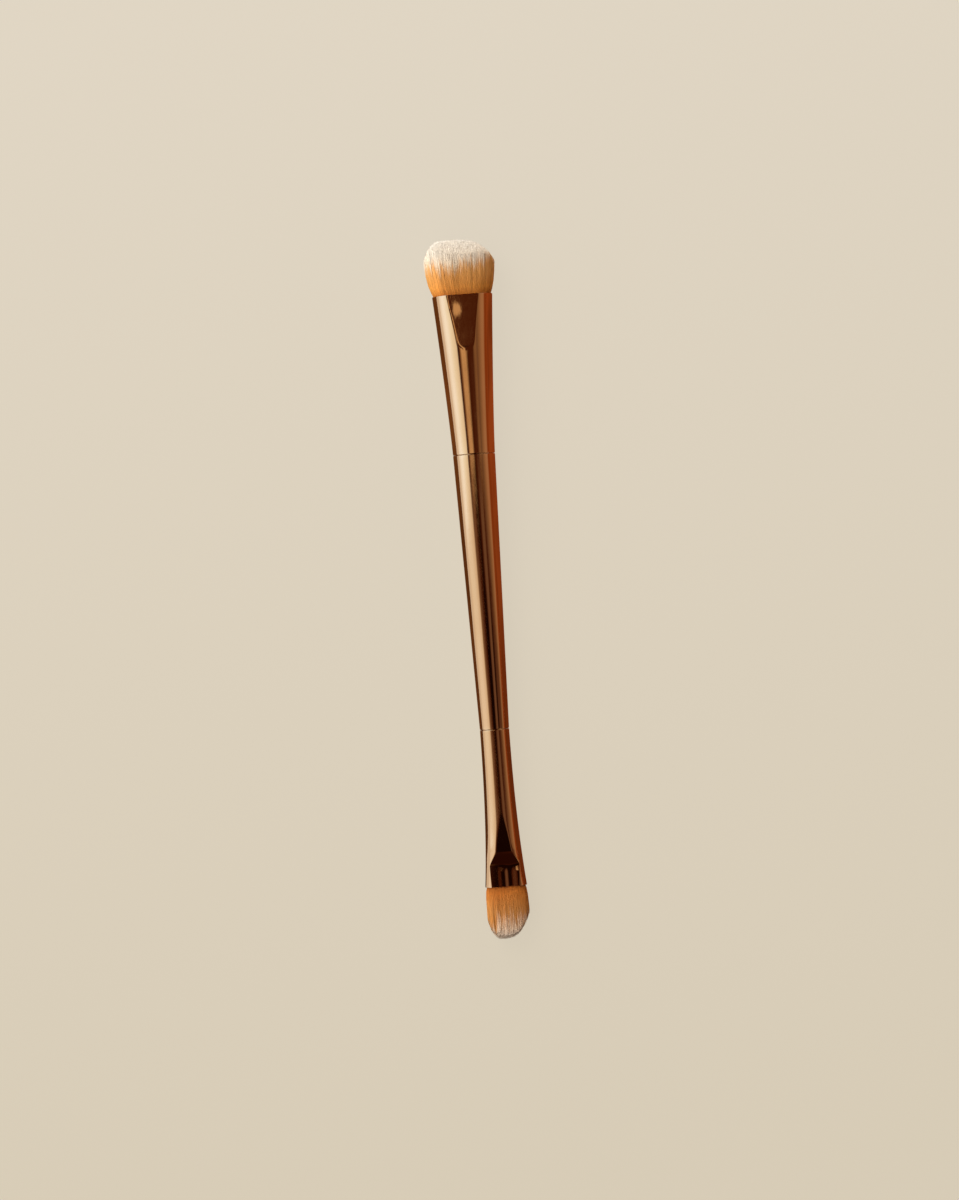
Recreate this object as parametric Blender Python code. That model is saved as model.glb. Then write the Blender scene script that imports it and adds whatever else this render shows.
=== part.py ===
"""Double-ended contour brush for make-up, modelled as the pieces it is assembled from.

The brush lies on a table with its long axis along X and its large head at +X. Two pressed metal
ferrules stand on the ends of a tapered tube. A moulded plug joins each ferrule to the tube and is
bonded in both. Each tuft is set in its ferrule's mouth by an epoxy plug, and the top slice of that
backing carries the tuft's bristles.

All lengths are in metres. A station is a distance along a head's axis, zero at the tube's end face
and positive towards the bristles, so the tube itself has negative stations.
"""

import math
import random
from collections import namedtuple

import bmesh
import bpy
from mathutils import Vector
from mathutils.geometry import delaunay_2d_cdt

# Handle tube
TUBE_LENGTH = 0.0610
TUBE_LARGE_DIAMETER = 0.0094
TUBE_SMALL_DIAMETER = 0.0066
TUBE_WALL = 0.0010

# Large ferrule, flared from the tube to an oval mouth with a flat pressed into each face. The flat
# begins as a narrow land on the crown, where the ferrule is thickest and where the brush lies.
LARGE_FERRULE_LENGTH = 0.0353
LARGE_MOUTH_WIDTH = 0.0134
LARGE_MOUTH_THICKNESS = 0.0090
LARGE_CROWN_THICKNESS = 0.0106
LARGE_PRESS_LENGTH = 0.0120
LARGE_RAMP_LENGTH = 0.0120
LARGE_FLAT_WIDTH = 0.0065
LARGE_LAND_WIDTH = 0.0020
LARGE_FLARE_POWER = 1.2

# Small ferrule, nearly a plain tube that is pinched flat behind its mouth
SMALL_FERRULE_LENGTH = 0.0350
SMALL_MOUTH_WIDTH = 0.0093
SMALL_MOUTH_THICKNESS = 0.0040
SMALL_CROWN_THICKNESS = 0.0072
SMALL_PRESS_LENGTH = 0.0080
SMALL_RAMP_LENGTH = 0.0030
SMALL_FLAT_WIDTH = 0.0065
SMALL_LAND_WIDTH = 0.0016
SMALL_FLARE_POWER = 2.4

# Large tuft, a full dome
LARGE_TUFT_HEIGHT = 0.0122
LARGE_TUFT_WIDTH = 0.0159
LARGE_TUFT_THICKNESS = 0.0104
LARGE_FLARE_HEIGHT = 0.0044
LARGE_SIDE_DROP = 0.0046
LARGE_FACE_DROP = 0.0034
LARGE_SIDE_POWER = 4.2
LARGE_FACE_POWER = 4.0
LARGE_STRANDS = 290

# Small tuft, cut on a slant from its long side at -Y of the head to its short side at +Y
SMALL_TUFT_HEIGHT = 0.0114
SMALL_TUFT_WIDTH = 0.0093
SMALL_TUFT_THICKNESS = 0.0046
SMALL_FLARE_HEIGHT = 0.0030
SMALL_APEX_SHARE = -0.34
SMALL_LONG_SIDE_DROP = 0.0033
SMALL_SHORT_SIDE_DROP = 0.0050
SMALL_FACE_DROP = 0.0012
SMALL_LONG_SIDE_POWER = 2.0
SMALL_SHORT_SIDE_POWER = 1.5
SMALL_FACE_POWER = 2.0
SMALL_STRANDS = 110

# Sheet metal of both ferrules and the fits between neighbours
FERRULE_WALL = 0.0003
FIT_GAP = 0.0003
SEAM_GAP = 0.0003
SEAM_CHAMFER = 0.00015
LIP_CHAMFER = 0.0001

# Joint plugs and the glue bands in their grooves
TENON_LENGTH = 0.0120
SPIGOT_LENGTH = 0.0110
PLUG_LAND = 0.0018
PLUG_CHAMFER = 0.0005
GLUE_THICKNESS = 0.0004

# Backing of the bristles
SLICE_RECESS = 0.0010
SLICE_THICKNESS = 0.0012
EPOXY_LENGTH = 0.0080
FOOT_MARGIN = 0.0002

# Bristle strands
STRAND_REACH_SHARE = 0.8
STRAND_TAPER_SHARE = 0.75
STRAND_POINT_LENGTH = 0.0012
TIP_SCATTER = 0.0004
STRAND_SIDES = 3
GOLDEN_ANGLE = math.pi * (3 - math.sqrt(5))

# Steps round an outline: each of its two sides, then each of its two pressed faces
OUTER_STEPS = (12, 7)
INNER_STEPS = (8, 5)
CONE_RINGS = 5
PRESS_RING_SHARES = (0, 0.09, 0.25, 0.45, 0.7)
NARROWEST_TOP = math.radians(9)
SMOOTH_ANGLE = math.radians(24)

Head = namedtuple(
    "Head",
    "name seam_radius taper length mouth_width mouth_thickness crown_thickness press_length "
    "ramp_length flat_width land_width flare_power tuft",
)
Tuft = namedtuple(
    "Tuft",
    "height width thickness flare_height apex_share side_drops side_powers face_drop face_power "
    "strands seed",
)
Finish = namedtuple("Finish", "colour roughness metallic")

TUBE_TAPER = (TUBE_LARGE_DIAMETER - TUBE_SMALL_DIAMETER) / 2 / TUBE_LENGTH

LARGE_HEAD = Head(
    name="large",
    seam_radius=TUBE_LARGE_DIAMETER / 2,
    taper=TUBE_TAPER,
    length=LARGE_FERRULE_LENGTH,
    mouth_width=LARGE_MOUTH_WIDTH,
    mouth_thickness=LARGE_MOUTH_THICKNESS,
    crown_thickness=LARGE_CROWN_THICKNESS,
    press_length=LARGE_PRESS_LENGTH,
    ramp_length=LARGE_RAMP_LENGTH,
    flat_width=LARGE_FLAT_WIDTH,
    land_width=LARGE_LAND_WIDTH,
    flare_power=LARGE_FLARE_POWER,
    tuft=Tuft(
        height=LARGE_TUFT_HEIGHT,
        width=LARGE_TUFT_WIDTH,
        thickness=LARGE_TUFT_THICKNESS,
        flare_height=LARGE_FLARE_HEIGHT,
        apex_share=0,
        side_drops=(LARGE_SIDE_DROP, LARGE_SIDE_DROP),
        side_powers=(LARGE_SIDE_POWER, LARGE_SIDE_POWER),
        face_drop=LARGE_FACE_DROP,
        face_power=LARGE_FACE_POWER,
        strands=LARGE_STRANDS,
        seed=1,
    ),
)

SMALL_HEAD = Head(
    name="small",
    seam_radius=TUBE_SMALL_DIAMETER / 2,
    taper=-TUBE_TAPER,
    length=SMALL_FERRULE_LENGTH,
    mouth_width=SMALL_MOUTH_WIDTH,
    mouth_thickness=SMALL_MOUTH_THICKNESS,
    crown_thickness=SMALL_CROWN_THICKNESS,
    press_length=SMALL_PRESS_LENGTH,
    ramp_length=SMALL_RAMP_LENGTH,
    flat_width=SMALL_FLAT_WIDTH,
    land_width=SMALL_LAND_WIDTH,
    flare_power=SMALL_FLARE_POWER,
    tuft=Tuft(
        height=SMALL_TUFT_HEIGHT,
        width=SMALL_TUFT_WIDTH,
        thickness=SMALL_TUFT_THICKNESS,
        flare_height=SMALL_FLARE_HEIGHT,
        apex_share=SMALL_APEX_SHARE,
        side_drops=(SMALL_LONG_SIDE_DROP, SMALL_SHORT_SIDE_DROP),
        side_powers=(SMALL_LONG_SIDE_POWER, SMALL_SHORT_SIDE_POWER),
        face_drop=SMALL_FACE_DROP,
        face_power=SMALL_FACE_POWER,
        strands=SMALL_STRANDS,
        seed=2,
    ),
)

FINISHES = {
    "handle_tube": Finish((0.72, 0.39, 0.21), 0.16, 1.0),
    "ferrule": Finish((0.75, 0.42, 0.23), 0.14, 1.0),
    "joint_plug": Finish((0.05, 0.05, 0.055), 0.55, 0.0),
    "glue": Finish((0.62, 0.55, 0.38), 0.35, 0.0),
    "epoxy_plug": Finish((0.46, 0.30, 0.14), 0.30, 0.0),
    "bristle_tuft": Finish((0.62, 0.33, 0.13), 0.60, 0.0),
}


def clear_scene():
    for obj in list(bpy.data.objects):
        bpy.data.objects.remove(obj, do_unlink=True)


def make_material(name, finish):
    material = bpy.data.materials.new(name)
    material.use_nodes = True
    shader = material.node_tree.nodes["Principled BSDF"]
    shader.inputs["Base Color"].default_value = (*finish.colour, 1)
    shader.inputs["Roughness"].default_value = finish.roughness
    shader.inputs["Metallic"].default_value = finish.metallic
    return material


def make_empty(name, parent=None):
    empty = bpy.data.objects.new(name, None)
    bpy.context.collection.objects.link(empty)
    empty.parent = parent
    return empty


def make_piece(name, kind, mesh_builder, parent, start):
    """Turn a finished bmesh into a named, shaded object that stands at a station of its parent."""
    mesh = bpy.data.meshes.new(name)
    mesh_builder.to_mesh(mesh)
    mesh_builder.free()
    mesh.shade_smooth()
    mesh.set_sharp_from_angle(angle=SMOOTH_ANGLE)
    mesh.materials.append(make_material(name, FINISHES[kind]))
    piece = bpy.data.objects.new(name, mesh)
    bpy.context.collection.objects.link(piece)
    piece.parent = parent
    piece.location.x = start
    return piece


def half_sizes(head, station):
    """Half width, half height of the rounded sides and half height between the faces, at a station."""
    if station <= 0:
        radius = head.seam_radius + head.taper * station
        return radius, radius, radius
    half_mouth = head.mouth_width / 2
    half_crown = head.crown_thickness / 2
    half_width = head.seam_radius + (half_mouth - head.seam_radius) * (station / head.length) ** head.flare_power
    press_start = head.length - head.press_length
    if station < press_start:
        rise = (station / press_start) ** head.flare_power
        half_height = head.seam_radius + (half_crown - head.seam_radius) * rise
        return half_width, half_height, half_height
    ramp = min((station - press_start) / head.ramp_length, 1)
    pressed = half_crown + (head.mouth_thickness / 2 - half_crown) * ramp
    tongue = flat_half_width(head, station)
    rounded = pressed / math.sqrt(1 - (tongue / half_width) ** 2)
    return half_width, rounded, pressed


def flat_half_width(head, station):
    """The pressed flat is a tongue: widest at the mouth, with a round tip that leaves a land on the crown."""
    before_mouth_share = min((head.length - station) / head.press_length, 1)
    widening = head.flat_width**2 - head.land_width**2
    return math.sqrt(head.land_width**2 + widening * (1 - before_mouth_share**2)) / 2


def face_start_angle(head, station, inset, steps):
    """The angle at which an outline's side ends and its face begins."""
    even_spread = math.pi / 2 - math.pi / 2 * steps[1] / sum(steps)
    narrowest = math.pi / 2 - NARROWEST_TOP
    press_start = head.length - head.press_length
    if station < press_start:
        return even_spread + (narrowest - even_spread) * max(station, 0) / press_start
    _, rounded, pressed = half_sizes(head, station)
    return min(math.asin((pressed - inset) / (rounded - inset)), narrowest)


def outline_angles(head, station, inset, steps):
    side_steps, face_steps = steps
    side_end = face_start_angle(head, station, inset, steps)
    face_span = math.pi - 2 * side_end
    angles = []
    for half_turn in (0, math.pi):
        for step in range(side_steps):
            angles.append(half_turn + side_end * (2 * step / side_steps - 1))
        for step in range(face_steps):
            angles.append(half_turn + side_end + face_span * step / face_steps)
    return angles


def pressed_point(sizes, angle, share=1):
    """A point of a pressed oval, or the same point drawn in towards the axis by a share."""
    half_width, rounded, pressed = sizes
    height = rounded * math.sin(angle)
    height = max(-pressed, min(height, pressed))
    return half_width * math.cos(angle) * share, height * share


def outline_ring(head, station, inset, steps):
    """The brush's outline at a station, moved inwards by the inset."""
    sizes = [size - inset for size in half_sizes(head, station)]
    angles = outline_angles(head, station, inset, steps)
    return [(station, *pressed_point(sizes, angle)) for angle in angles]


def loft(head, levels, steps, closed=False):
    """Join outline rings, given as stations and insets, into one body that starts at its first level."""
    builder = bmesh.new()
    start = levels[0][0]
    rings = []
    for station, inset in levels:
        points = outline_ring(head, station, inset, steps)
        rings.append([builder.verts.new((x - start, y, z)) for x, y, z in points])
    join_rings(builder, rings)
    if closed:
        join_rings(builder, [rings[-1], rings[0]])
    else:
        builder.faces.new(reversed(rings[0]))
        builder.faces.new(rings[-1])
    return builder, start


def join_rings(builder, rings):
    for lower, upper in zip(rings, rings[1:]):
        for here in range(len(lower)):
            after = (here + 1) % len(lower)
            builder.faces.new((lower[here], lower[after], upper[after], upper[here]))


def shell_stations(head):
    """Stations between a ferrule's two edges that its outside and its inside share."""
    press_start = head.length - head.press_length
    cone = [press_start * step / CONE_RINGS for step in range(1, CONE_RINGS)]
    pressed = [press_start + head.press_length * share for share in PRESS_RING_SHARES]
    ramp_end = press_start + head.ramp_length
    if ramp_end < head.length:
        pressed = [station for station in pressed if station < ramp_end] + [ramp_end]
    return cone + pressed


def make_ferrule(head, parent):
    """A thin pressed shell, open at both ends, with a chamfered seam edge and a fine lip at its mouth."""
    stations = shell_stations(head)
    seam_end = [
        (SEAM_GAP, SEAM_CHAMFER),
        (SEAM_GAP + SEAM_CHAMFER, 0),
    ]
    outside = [(station, 0) for station in stations]
    mouth_end = [
        (head.length - LIP_CHAMFER, 0),
        (head.length, LIP_CHAMFER),
        (head.length, FERRULE_WALL - LIP_CHAMFER),
        (head.length - LIP_CHAMFER, FERRULE_WALL),
    ]
    inside = [(station, FERRULE_WALL) for station in reversed(stations)]
    levels = seam_end + outside + mouth_end + inside + [(SEAM_GAP, FERRULE_WALL)]
    builder, start = loft(head, levels, OUTER_STEPS, closed=True)
    return make_piece(f"{head.name}_ferrule", "ferrule", builder, parent, start)


def make_handle_tube(parent):
    """The tapered tube, drawn from its small end to its large end and back through its bore."""
    head = LARGE_HEAD
    levels = [
        (-TUBE_LENGTH, TUBE_WALL),
        (-TUBE_LENGTH, SEAM_CHAMFER),
        (-TUBE_LENGTH + SEAM_CHAMFER, 0),
        (-SEAM_CHAMFER, 0),
        (0, SEAM_CHAMFER),
        (0, TUBE_WALL),
    ]
    builder, start = loft(head, levels, OUTER_STEPS, closed=True)
    return make_piece("handle_tube", "handle_tube", builder, parent, start)


def make_joint_plug(head, parent):
    """A moulded plug: spigot in the tube, shoulder on its end face, tenon in the ferrule, both grooved."""
    in_tube = TUBE_WALL + FIT_GAP
    in_ferrule = FERRULE_WALL + FIT_GAP
    groove = GLUE_THICKNESS + FIT_GAP
    shoulder = FIT_GAP
    spigot = (-SPIGOT_LENGTH, -SPIGOT_LENGTH + PLUG_LAND, -PLUG_LAND)
    tenon = (shoulder + PLUG_LAND, TENON_LENGTH - PLUG_LAND, TENON_LENGTH)
    levels = [
        (spigot[0], in_tube + PLUG_CHAMFER),
        (spigot[0] + PLUG_CHAMFER, in_tube),
        (spigot[1], in_tube),
        (spigot[1], in_tube + groove),
        (spigot[2], in_tube + groove),
        (spigot[2], in_tube),
        (shoulder, in_tube),
        (shoulder, in_ferrule),
        (tenon[0], in_ferrule),
        (tenon[0], in_ferrule + groove),
        (tenon[1], in_ferrule + groove),
        (tenon[1], in_ferrule),
        (tenon[2] - PLUG_CHAMFER, in_ferrule),
        (tenon[2], in_ferrule + PLUG_CHAMFER),
    ]
    builder, start = loft(head, levels, INNER_STEPS)
    return make_piece(f"{head.name}_joint_plug", "joint_plug", builder, parent, start)


def make_glue_band(head, parent, name, groove_start, groove_end, wall):
    """The set glue between a plug's groove and the metal round it."""
    first = groove_start + FIT_GAP
    last = groove_end - FIT_GAP
    outer = wall + FIT_GAP
    inner = outer + GLUE_THICKNESS
    levels = [(first, inner), (first, outer), (last, outer), (last, inner)]
    builder, start = loft(head, levels, INNER_STEPS, closed=True)
    return make_piece(name, "glue", builder, parent, start)


def make_glue_bands(head, parent):
    tenon_groove = (FIT_GAP + PLUG_LAND, TENON_LENGTH - PLUG_LAND)
    spigot_groove = (-SPIGOT_LENGTH + PLUG_LAND, -PLUG_LAND)
    make_glue_band(head, parent, f"{head.name}_ferrule_glue", *tenon_groove, FERRULE_WALL)
    make_glue_band(head, parent, f"{head.name}_tube_glue", *spigot_groove, TUBE_WALL)


def make_epoxy_plug(head, parent):
    """The cast epoxy behind the bristles, which has taken the ferrule's inner form."""
    front = head.length - SLICE_RECESS - SLICE_THICKNESS - FIT_GAP
    back = front - EPOXY_LENGTH
    between = [station for station in shell_stations(head) if back < station < front]
    inset = FERRULE_WALL + FIT_GAP
    levels = [(station, inset) for station in [back, *between, front]]
    builder, start = loft(head, levels, INNER_STEPS)
    return make_piece(f"{head.name}_epoxy_plug", "epoxy_plug", builder, parent, start)


def tip_height(tuft, across, through):
    """Height of a bristle's tip above the mouth, for its place across and through the tuft."""
    side = across - tuft.apex_share
    far_side = 0 if side < 0 else 1
    full_reach = 1 + tuft.apex_share if side < 0 else 1 - tuft.apex_share
    side_drop = tuft.side_drops[far_side] * (abs(side) / full_reach) ** tuft.side_powers[far_side]
    return tuft.height - side_drop - tuft.face_drop * abs(through) ** tuft.face_power


def strand_corners(centre, reach, turn):
    """The corners of a strand's section, as places in a round bundle of radius one."""
    corners = []
    for corner in range(STRAND_SIDES):
        angle = turn + 2 * math.pi * corner / STRAND_SIDES
        corners.append(centre + Vector((math.cos(angle), math.sin(angle))) * reach)
    return corners


def bundle_point(sizes, place):
    """Where a place of the round bundle lies once the bundle is pressed to an oval of these sizes."""
    return pressed_point(sizes, math.atan2(place.y, place.x), place.length)


def fill_between_feet(builder, edge_ring, feet, scale):
    """Close the slice's front face round the strands that stand on it."""
    corners = edge_ring + [vert for foot in feet for vert in foot]
    flat_points = [Vector((vert.co.y, vert.co.z)) / scale for vert in corners]
    loops = [list(range(len(edge_ring)))]
    for first in range(len(edge_ring), len(corners), STRAND_SIDES):
        loops.append(list(range(first, first + STRAND_SIDES)))
    edges = [(loop[i], loop[(i + 1) % len(loop)]) for loop in loops for i in range(len(loop))]
    smallest = 1e-7
    _, _, triangles, sources, _, _ = delaunay_2d_cdt(flat_points, edges, [], 1, smallest)
    owners = [None] * len(edge_ring)
    for number, foot in enumerate(feet):
        owners += [number] * len(foot)
    for triangle in triangles:
        indices = [sources[point][0] for point in triangle]
        is_foot = owners[indices[0]] is not None and len({owners[index] for index in indices}) == 1
        if not is_foot:
            builder.faces.new([corners[index] for index in indices])


def make_tuft(head, parent):
    """A slice of the backing with every strand fused to it, each in its own cell of the bundle."""
    tuft = head.tuft
    chance = random.Random(tuft.seed)
    front = head.length - SLICE_RECESS
    back = front - SLICE_THICKNESS
    slice_inset = FERRULE_WALL + FIT_GAP
    root_sizes = [size - slice_inset - FOOT_MARGIN for size in half_sizes(head, front)]
    belly_sizes = (tuft.width / 2, tuft.thickness / 2, tuft.thickness / 2)
    flare_station = head.length + tuft.flare_height

    builder = bmesh.new()
    slice_rings = []
    for station in (back, front):
        points = outline_ring(head, station, slice_inset, OUTER_STEPS)
        slice_rings.append([builder.verts.new((x - back, y, z)) for x, y, z in points])
    builder.faces.new(reversed(slice_rings[0]))
    join_rings(builder, slice_rings)

    reach = STRAND_REACH_SHARE / math.sqrt(tuft.strands)
    feet = []
    for number in range(tuft.strands):
        turn = number * GOLDEN_ANGLE
        radius = math.sqrt((number + 0.5) / tuft.strands) * (1 - reach)
        centre = Vector((math.cos(turn), math.sin(turn))) * radius
        places = strand_corners(centre, reach, turn)
        tip_places = strand_corners(centre, reach * STRAND_TAPER_SHARE, turn)
        tip = head.length + tip_height(tuft, centre.x, centre.y) - TIP_SCATTER * chance.random()
        levels = (
            (front, root_sizes, places),
            (flare_station, belly_sizes, places),
            (tip - STRAND_POINT_LENGTH, belly_sizes, tip_places),
        )
        rings = []
        for station, sizes, ring_places in levels:
            points = [bundle_point(sizes, place) for place in ring_places]
            rings.append([builder.verts.new((station - back, y, z)) for y, z in points])
        join_rings(builder, rings)
        point = builder.verts.new((tip - back, *bundle_point(belly_sizes, centre)))
        for here in range(STRAND_SIDES):
            after = (here + 1) % STRAND_SIDES
            builder.faces.new((rings[-1][here], rings[-1][after], point))
        feet.append(rings[0])
    fill_between_feet(builder, slice_rings[1], feet, head.mouth_width)
    return make_piece(f"{head.name}_bristle_tuft", "bristle_tuft", builder, parent, back)


def lower_hull(points):
    """The points, from left to right, that a straight edge laid against the underside would touch."""
    hull = []
    for point in sorted(points):
        while len(hull) > 1:
            (x1, z1), (x2, z2) = hull[-2:]
            if (x2 - x1) * (point[1] - z1) - (z2 - z1) * (point[0] - x1) > 0:
                break
            hull.pop()
        hull.append(point)
    return hull


def world_points(pieces):
    bpy.context.view_layer.update()
    return [piece.matrix_world @ vertex.co for piece in pieces for vertex in piece.data.vertices]


def lay_on_table(brush, pieces):
    """Tilt the brush onto the two places it rests on, and bring its middle over the origin."""
    hull = lower_hull({(point.x, point.z) for point in world_points(pieces)})
    under_handle = -TUBE_LENGTH / 2
    for (x1, z1), (x2, z2) in zip(hull, hull[1:]):
        if x1 <= under_handle <= x2:
            brush.rotation_euler.y = math.atan2(z2 - z1, x2 - x1)
    points = world_points(pieces)
    middle_x = (min(p.x for p in points) + max(p.x for p in points)) / 2
    brush.location = (-middle_x, 0, -min(p.z for p in points))


def make_head(head, parent):
    make_ferrule(head, parent)
    make_joint_plug(head, parent)
    make_glue_bands(head, parent)
    make_epoxy_plug(head, parent)
    make_tuft(head, parent)


def main():
    clear_scene()
    brush = make_empty("brush")
    large_seat = make_empty("large_head_seat", brush)
    small_seat = make_empty("small_head_seat", brush)
    small_seat.location.x = -TUBE_LENGTH
    small_seat.rotation_euler.z = math.pi
    make_handle_tube(large_seat)
    make_head(LARGE_HEAD, large_seat)
    make_head(SMALL_HEAD, small_seat)
    pieces = [obj for obj in bpy.data.objects if obj.type == "MESH"]
    lay_on_table(brush, pieces)


main()
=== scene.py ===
"""Looks of the double-ended contour brush: polished copper shells, bristle tufts, table and studio.

Lengths are in metres. A station is a distance along a head's own axis, zero at the tube's end face
and positive towards the bristles. Each head is built in its own frame and then laid on the table
with the solids. An angle of the studio is measured round the brush's axis from straight up, and is
positive towards the photograph's left.
"""

import math
from collections import namedtuple

import bpy
import numpy as np
from mathutils import Matrix

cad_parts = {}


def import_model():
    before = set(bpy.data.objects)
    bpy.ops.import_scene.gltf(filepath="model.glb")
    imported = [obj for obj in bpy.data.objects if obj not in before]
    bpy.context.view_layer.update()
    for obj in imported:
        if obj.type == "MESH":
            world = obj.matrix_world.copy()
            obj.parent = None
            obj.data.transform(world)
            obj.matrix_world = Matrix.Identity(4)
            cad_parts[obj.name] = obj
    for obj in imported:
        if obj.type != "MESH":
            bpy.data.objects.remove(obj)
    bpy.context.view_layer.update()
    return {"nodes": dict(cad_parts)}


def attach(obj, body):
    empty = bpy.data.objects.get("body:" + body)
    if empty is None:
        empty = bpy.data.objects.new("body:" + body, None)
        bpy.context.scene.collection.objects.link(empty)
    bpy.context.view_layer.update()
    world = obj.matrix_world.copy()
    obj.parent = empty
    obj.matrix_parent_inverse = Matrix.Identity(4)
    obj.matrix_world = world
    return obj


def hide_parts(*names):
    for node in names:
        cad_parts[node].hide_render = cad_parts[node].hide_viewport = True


# The solids' own sizes, repeated, and where the large end face of their tube lies on the table
TUBE_LENGTH = 0.0610
TUBE_WALL = 0.0010
TUBE_LARGE_RADIUS = 0.0047
TUBE_SMALL_RADIUS = 0.0033
TUBE_TAPER = (TUBE_LARGE_RADIUS - TUBE_SMALL_RADIUS) / TUBE_LENGTH
FERRULE_WALL = 0.0003
BRISTLE_RECESS = 0.0010
BRUSH_X = 0.02984

# Fineness of the metal shells, and the rounding of their seams, lips and bends
SEAM_SLIT = 0.00003
SEAM_ROUNDING = 0.00016
LIP_ROUNDING = 0.0001
SHELL_SIDES = 288
CONE_RINGS = 28
PRESSED_RINGS = 54
TUBE_RINGS = 40
ROUNDING_RINGS = 5
RING_SUPPORT = 0.00003
CREASE_SOFTNESS = 0.000025
BEND_SAMPLES = 7
RAMP_EASE = 0.75
RIM_REACH = 0.0005
PRESS_DEPTH = 0.0002

# Waves across a rippled flat. They start one length before the mouth and are full a third of it later,
# and the slope and share fade them out on the flat's negative side.
RIPPLE_WAVE = 0.0042
RIPPLE_LENGTH = 0.0052
RIPPLE_RISE = 3
RIPPLE_SIDE_SLOPE = 2
RIPPLE_SIDE_SHARE = 0.8

GOLDEN_ANGLE = math.pi * (3 - math.sqrt(5))

# A head runs from its seam to its mouth. Press plates close on it along press_length. They step in and
# sink down a ramp, and leave flats that bulge a little. A shallow approach leads up to them.
Head = namedtuple(
    "Head",
    "name seam_radius taper length half_mouth half_mouth_height half_crown press_length ramp_length "
    "half_flat approach_depth approach_length step step_reach flare_power bend_reach bulge dent ripple",
)
Dent = namedtuple("Dent", "before_mouth across reach depth")

# Outer strands are seen from mouth to tip, and inner ones at their tips only. The trimmed end drops
# from its apex to the two sides, the negative side's values first, and to both faces. Amber turns pale
# at fade_start, and fade_rise higher on the negative side.
Tuft = namedtuple(
    "Tuft",
    "outer_strands inner_strands outer_radius inner_radius clumps height half_width half_height "
    "lean flare_height tip_facing apex_share side_drops side_powers face_drop face_power clump_pull "
    "sway tip_scatter fade_start fade_rise fade_clump_spread fade_strand_spread seed",
)
Clumps = namedtuple("Clumps", "centres sway fade shade")

# A noise has grains in cycles a metre, along and across, and rises from nothing to full within reach
Noise = namedtuple("Noise", "grains detail roughness reach")
Metal = namedtuple("Metal", "colour deep_colour worn_colour")
Hair = namedtuple("Hair", "roots tips fade_width")
Cast = namedtuple("Cast", "colours roughness bubble_size clear")
Lamp = namedtuple("Lamp", "name place size power colour")

LARGE_HEAD = Head(
    name="large",
    seam_radius=TUBE_LARGE_RADIUS,
    taper=TUBE_TAPER,
    length=0.0353,
    half_mouth=0.0067,
    half_mouth_height=0.0045,
    half_crown=0.00529,
    press_length=0.0120,
    ramp_length=0.0120,
    half_flat=0.0036,
    approach_depth=0,
    approach_length=0.0010,
    step=0.00022,
    step_reach=0.00045,
    flare_power=1.2,
    bend_reach=0.0004,
    bulge=0.00002,
    dent=Dent(before_mouth=0.0033, across=0.0025, reach=0.00105, depth=0.00006),
    ripple=0,
)
SMALL_HEAD = Head(
    name="small",
    seam_radius=TUBE_SMALL_RADIUS,
    taper=-TUBE_TAPER,
    length=0.0350,
    half_mouth=0.00465,
    half_mouth_height=0.0020,
    half_crown=0.0036,
    press_length=0.0080,
    ramp_length=0.0030,
    half_flat=0.00325,
    approach_depth=0.00045,
    approach_length=0.0120,
    step=0,
    step_reach=1,
    flare_power=2.4,
    bend_reach=0.0004,
    bulge=0.00010,
    dent=None,
    ripple=0.00012,
)
LARGE_TUFT = Tuft(
    outer_strands=4200,
    inner_strands=5200,
    outer_radius=0.000046,
    inner_radius=0.000066,
    clumps=420,
    height=0.01245,
    half_width=0.00795,
    half_height=0.00515,
    lean=0.0002,
    flare_height=0.0032,
    tip_facing=1,
    apex_share=0.34,
    side_drops=(0.0048, 0.0045),
    side_powers=(3.7, 3.1),
    face_drop=0.0034,
    face_power=3.4,
    clump_pull=0.10,
    sway=0.00005,
    tip_scatter=0.00030,
    fade_start=0.0062,
    fade_rise=0.0016,
    fade_clump_spread=0.0005,
    fade_strand_spread=0.0008,
    seed=11,
)
SMALL_TUFT = Tuft(
    outer_strands=1900,
    inner_strands=2600,
    outer_radius=0.000034,
    inner_radius=0.000046,
    clumps=150,
    height=0.0117,
    half_width=0.00470,
    half_height=0.00228,
    lean=0,
    flare_height=0.0010,
    tip_facing=0.4,
    apex_share=-0.34,
    side_drops=(0.0042, 0.0056),
    side_powers=(2.5, 3.1),
    face_drop=0.0001,
    face_power=2.0,
    clump_pull=0.20,
    sway=0.00005,
    tip_scatter=0.0004,
    fade_start=0.0070,
    fade_rise=0.0022,
    fade_clump_spread=0.0007,
    fade_strand_spread=0.0012,
    seed=12,
)
# Strands: shares of their length at which they have points, and how they are spread and gathered
OUTER_LEVELS = (0, 0.11, 0.24, 0.44, 0.70, 0.92, 1)
INNER_LEVELS = (0, 0.6, 1)
INNER_START = 0.0006
INNER_SCATTER = 0.6
SCATTER_LIMIT = 8
STRAND_SIDES = 3
PLACE_JITTER = 0.55
CLUMP_JITTER = 0.35
PULL_POWER = 1.5
SWAY_POWER = 1.6
STRAY_SHARE = 0.012
STRAY_SWAY = 4

# The packed body under the outer strands
CORE_SIDES = 240
CORE_RINGS = 12
CORE_SHARE = 0.93
CORE_DEPTH = 0.0008

# How strands differ in shade, where the amber rises, and which way a tuft faces the light
SHADE_MIDDLE = 0.5
SHADE_SCALE = 0.25
CLUMP_SHADE_SPREAD = 0.5
STRAND_SHADE_SPREAD = 0.8
# Painted light: the core takes a lighter shade than the strands' middle one, to make up for the shade
# it lies in under the outer strands
CORE_PAINTED_LIGHT_SHADE = 0.85
CORE_SHADE_SPREAD = 0.2
FADE_RISE_FROM = 0.15
FADE_RISE_REACH = 0.6
TIP_FACING_POWER = 5
TIP_CLEAR_POWER = 3
TIP_CLEAR_RISE = 0.5
OUTWARD_SHARE = 2.0
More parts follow.
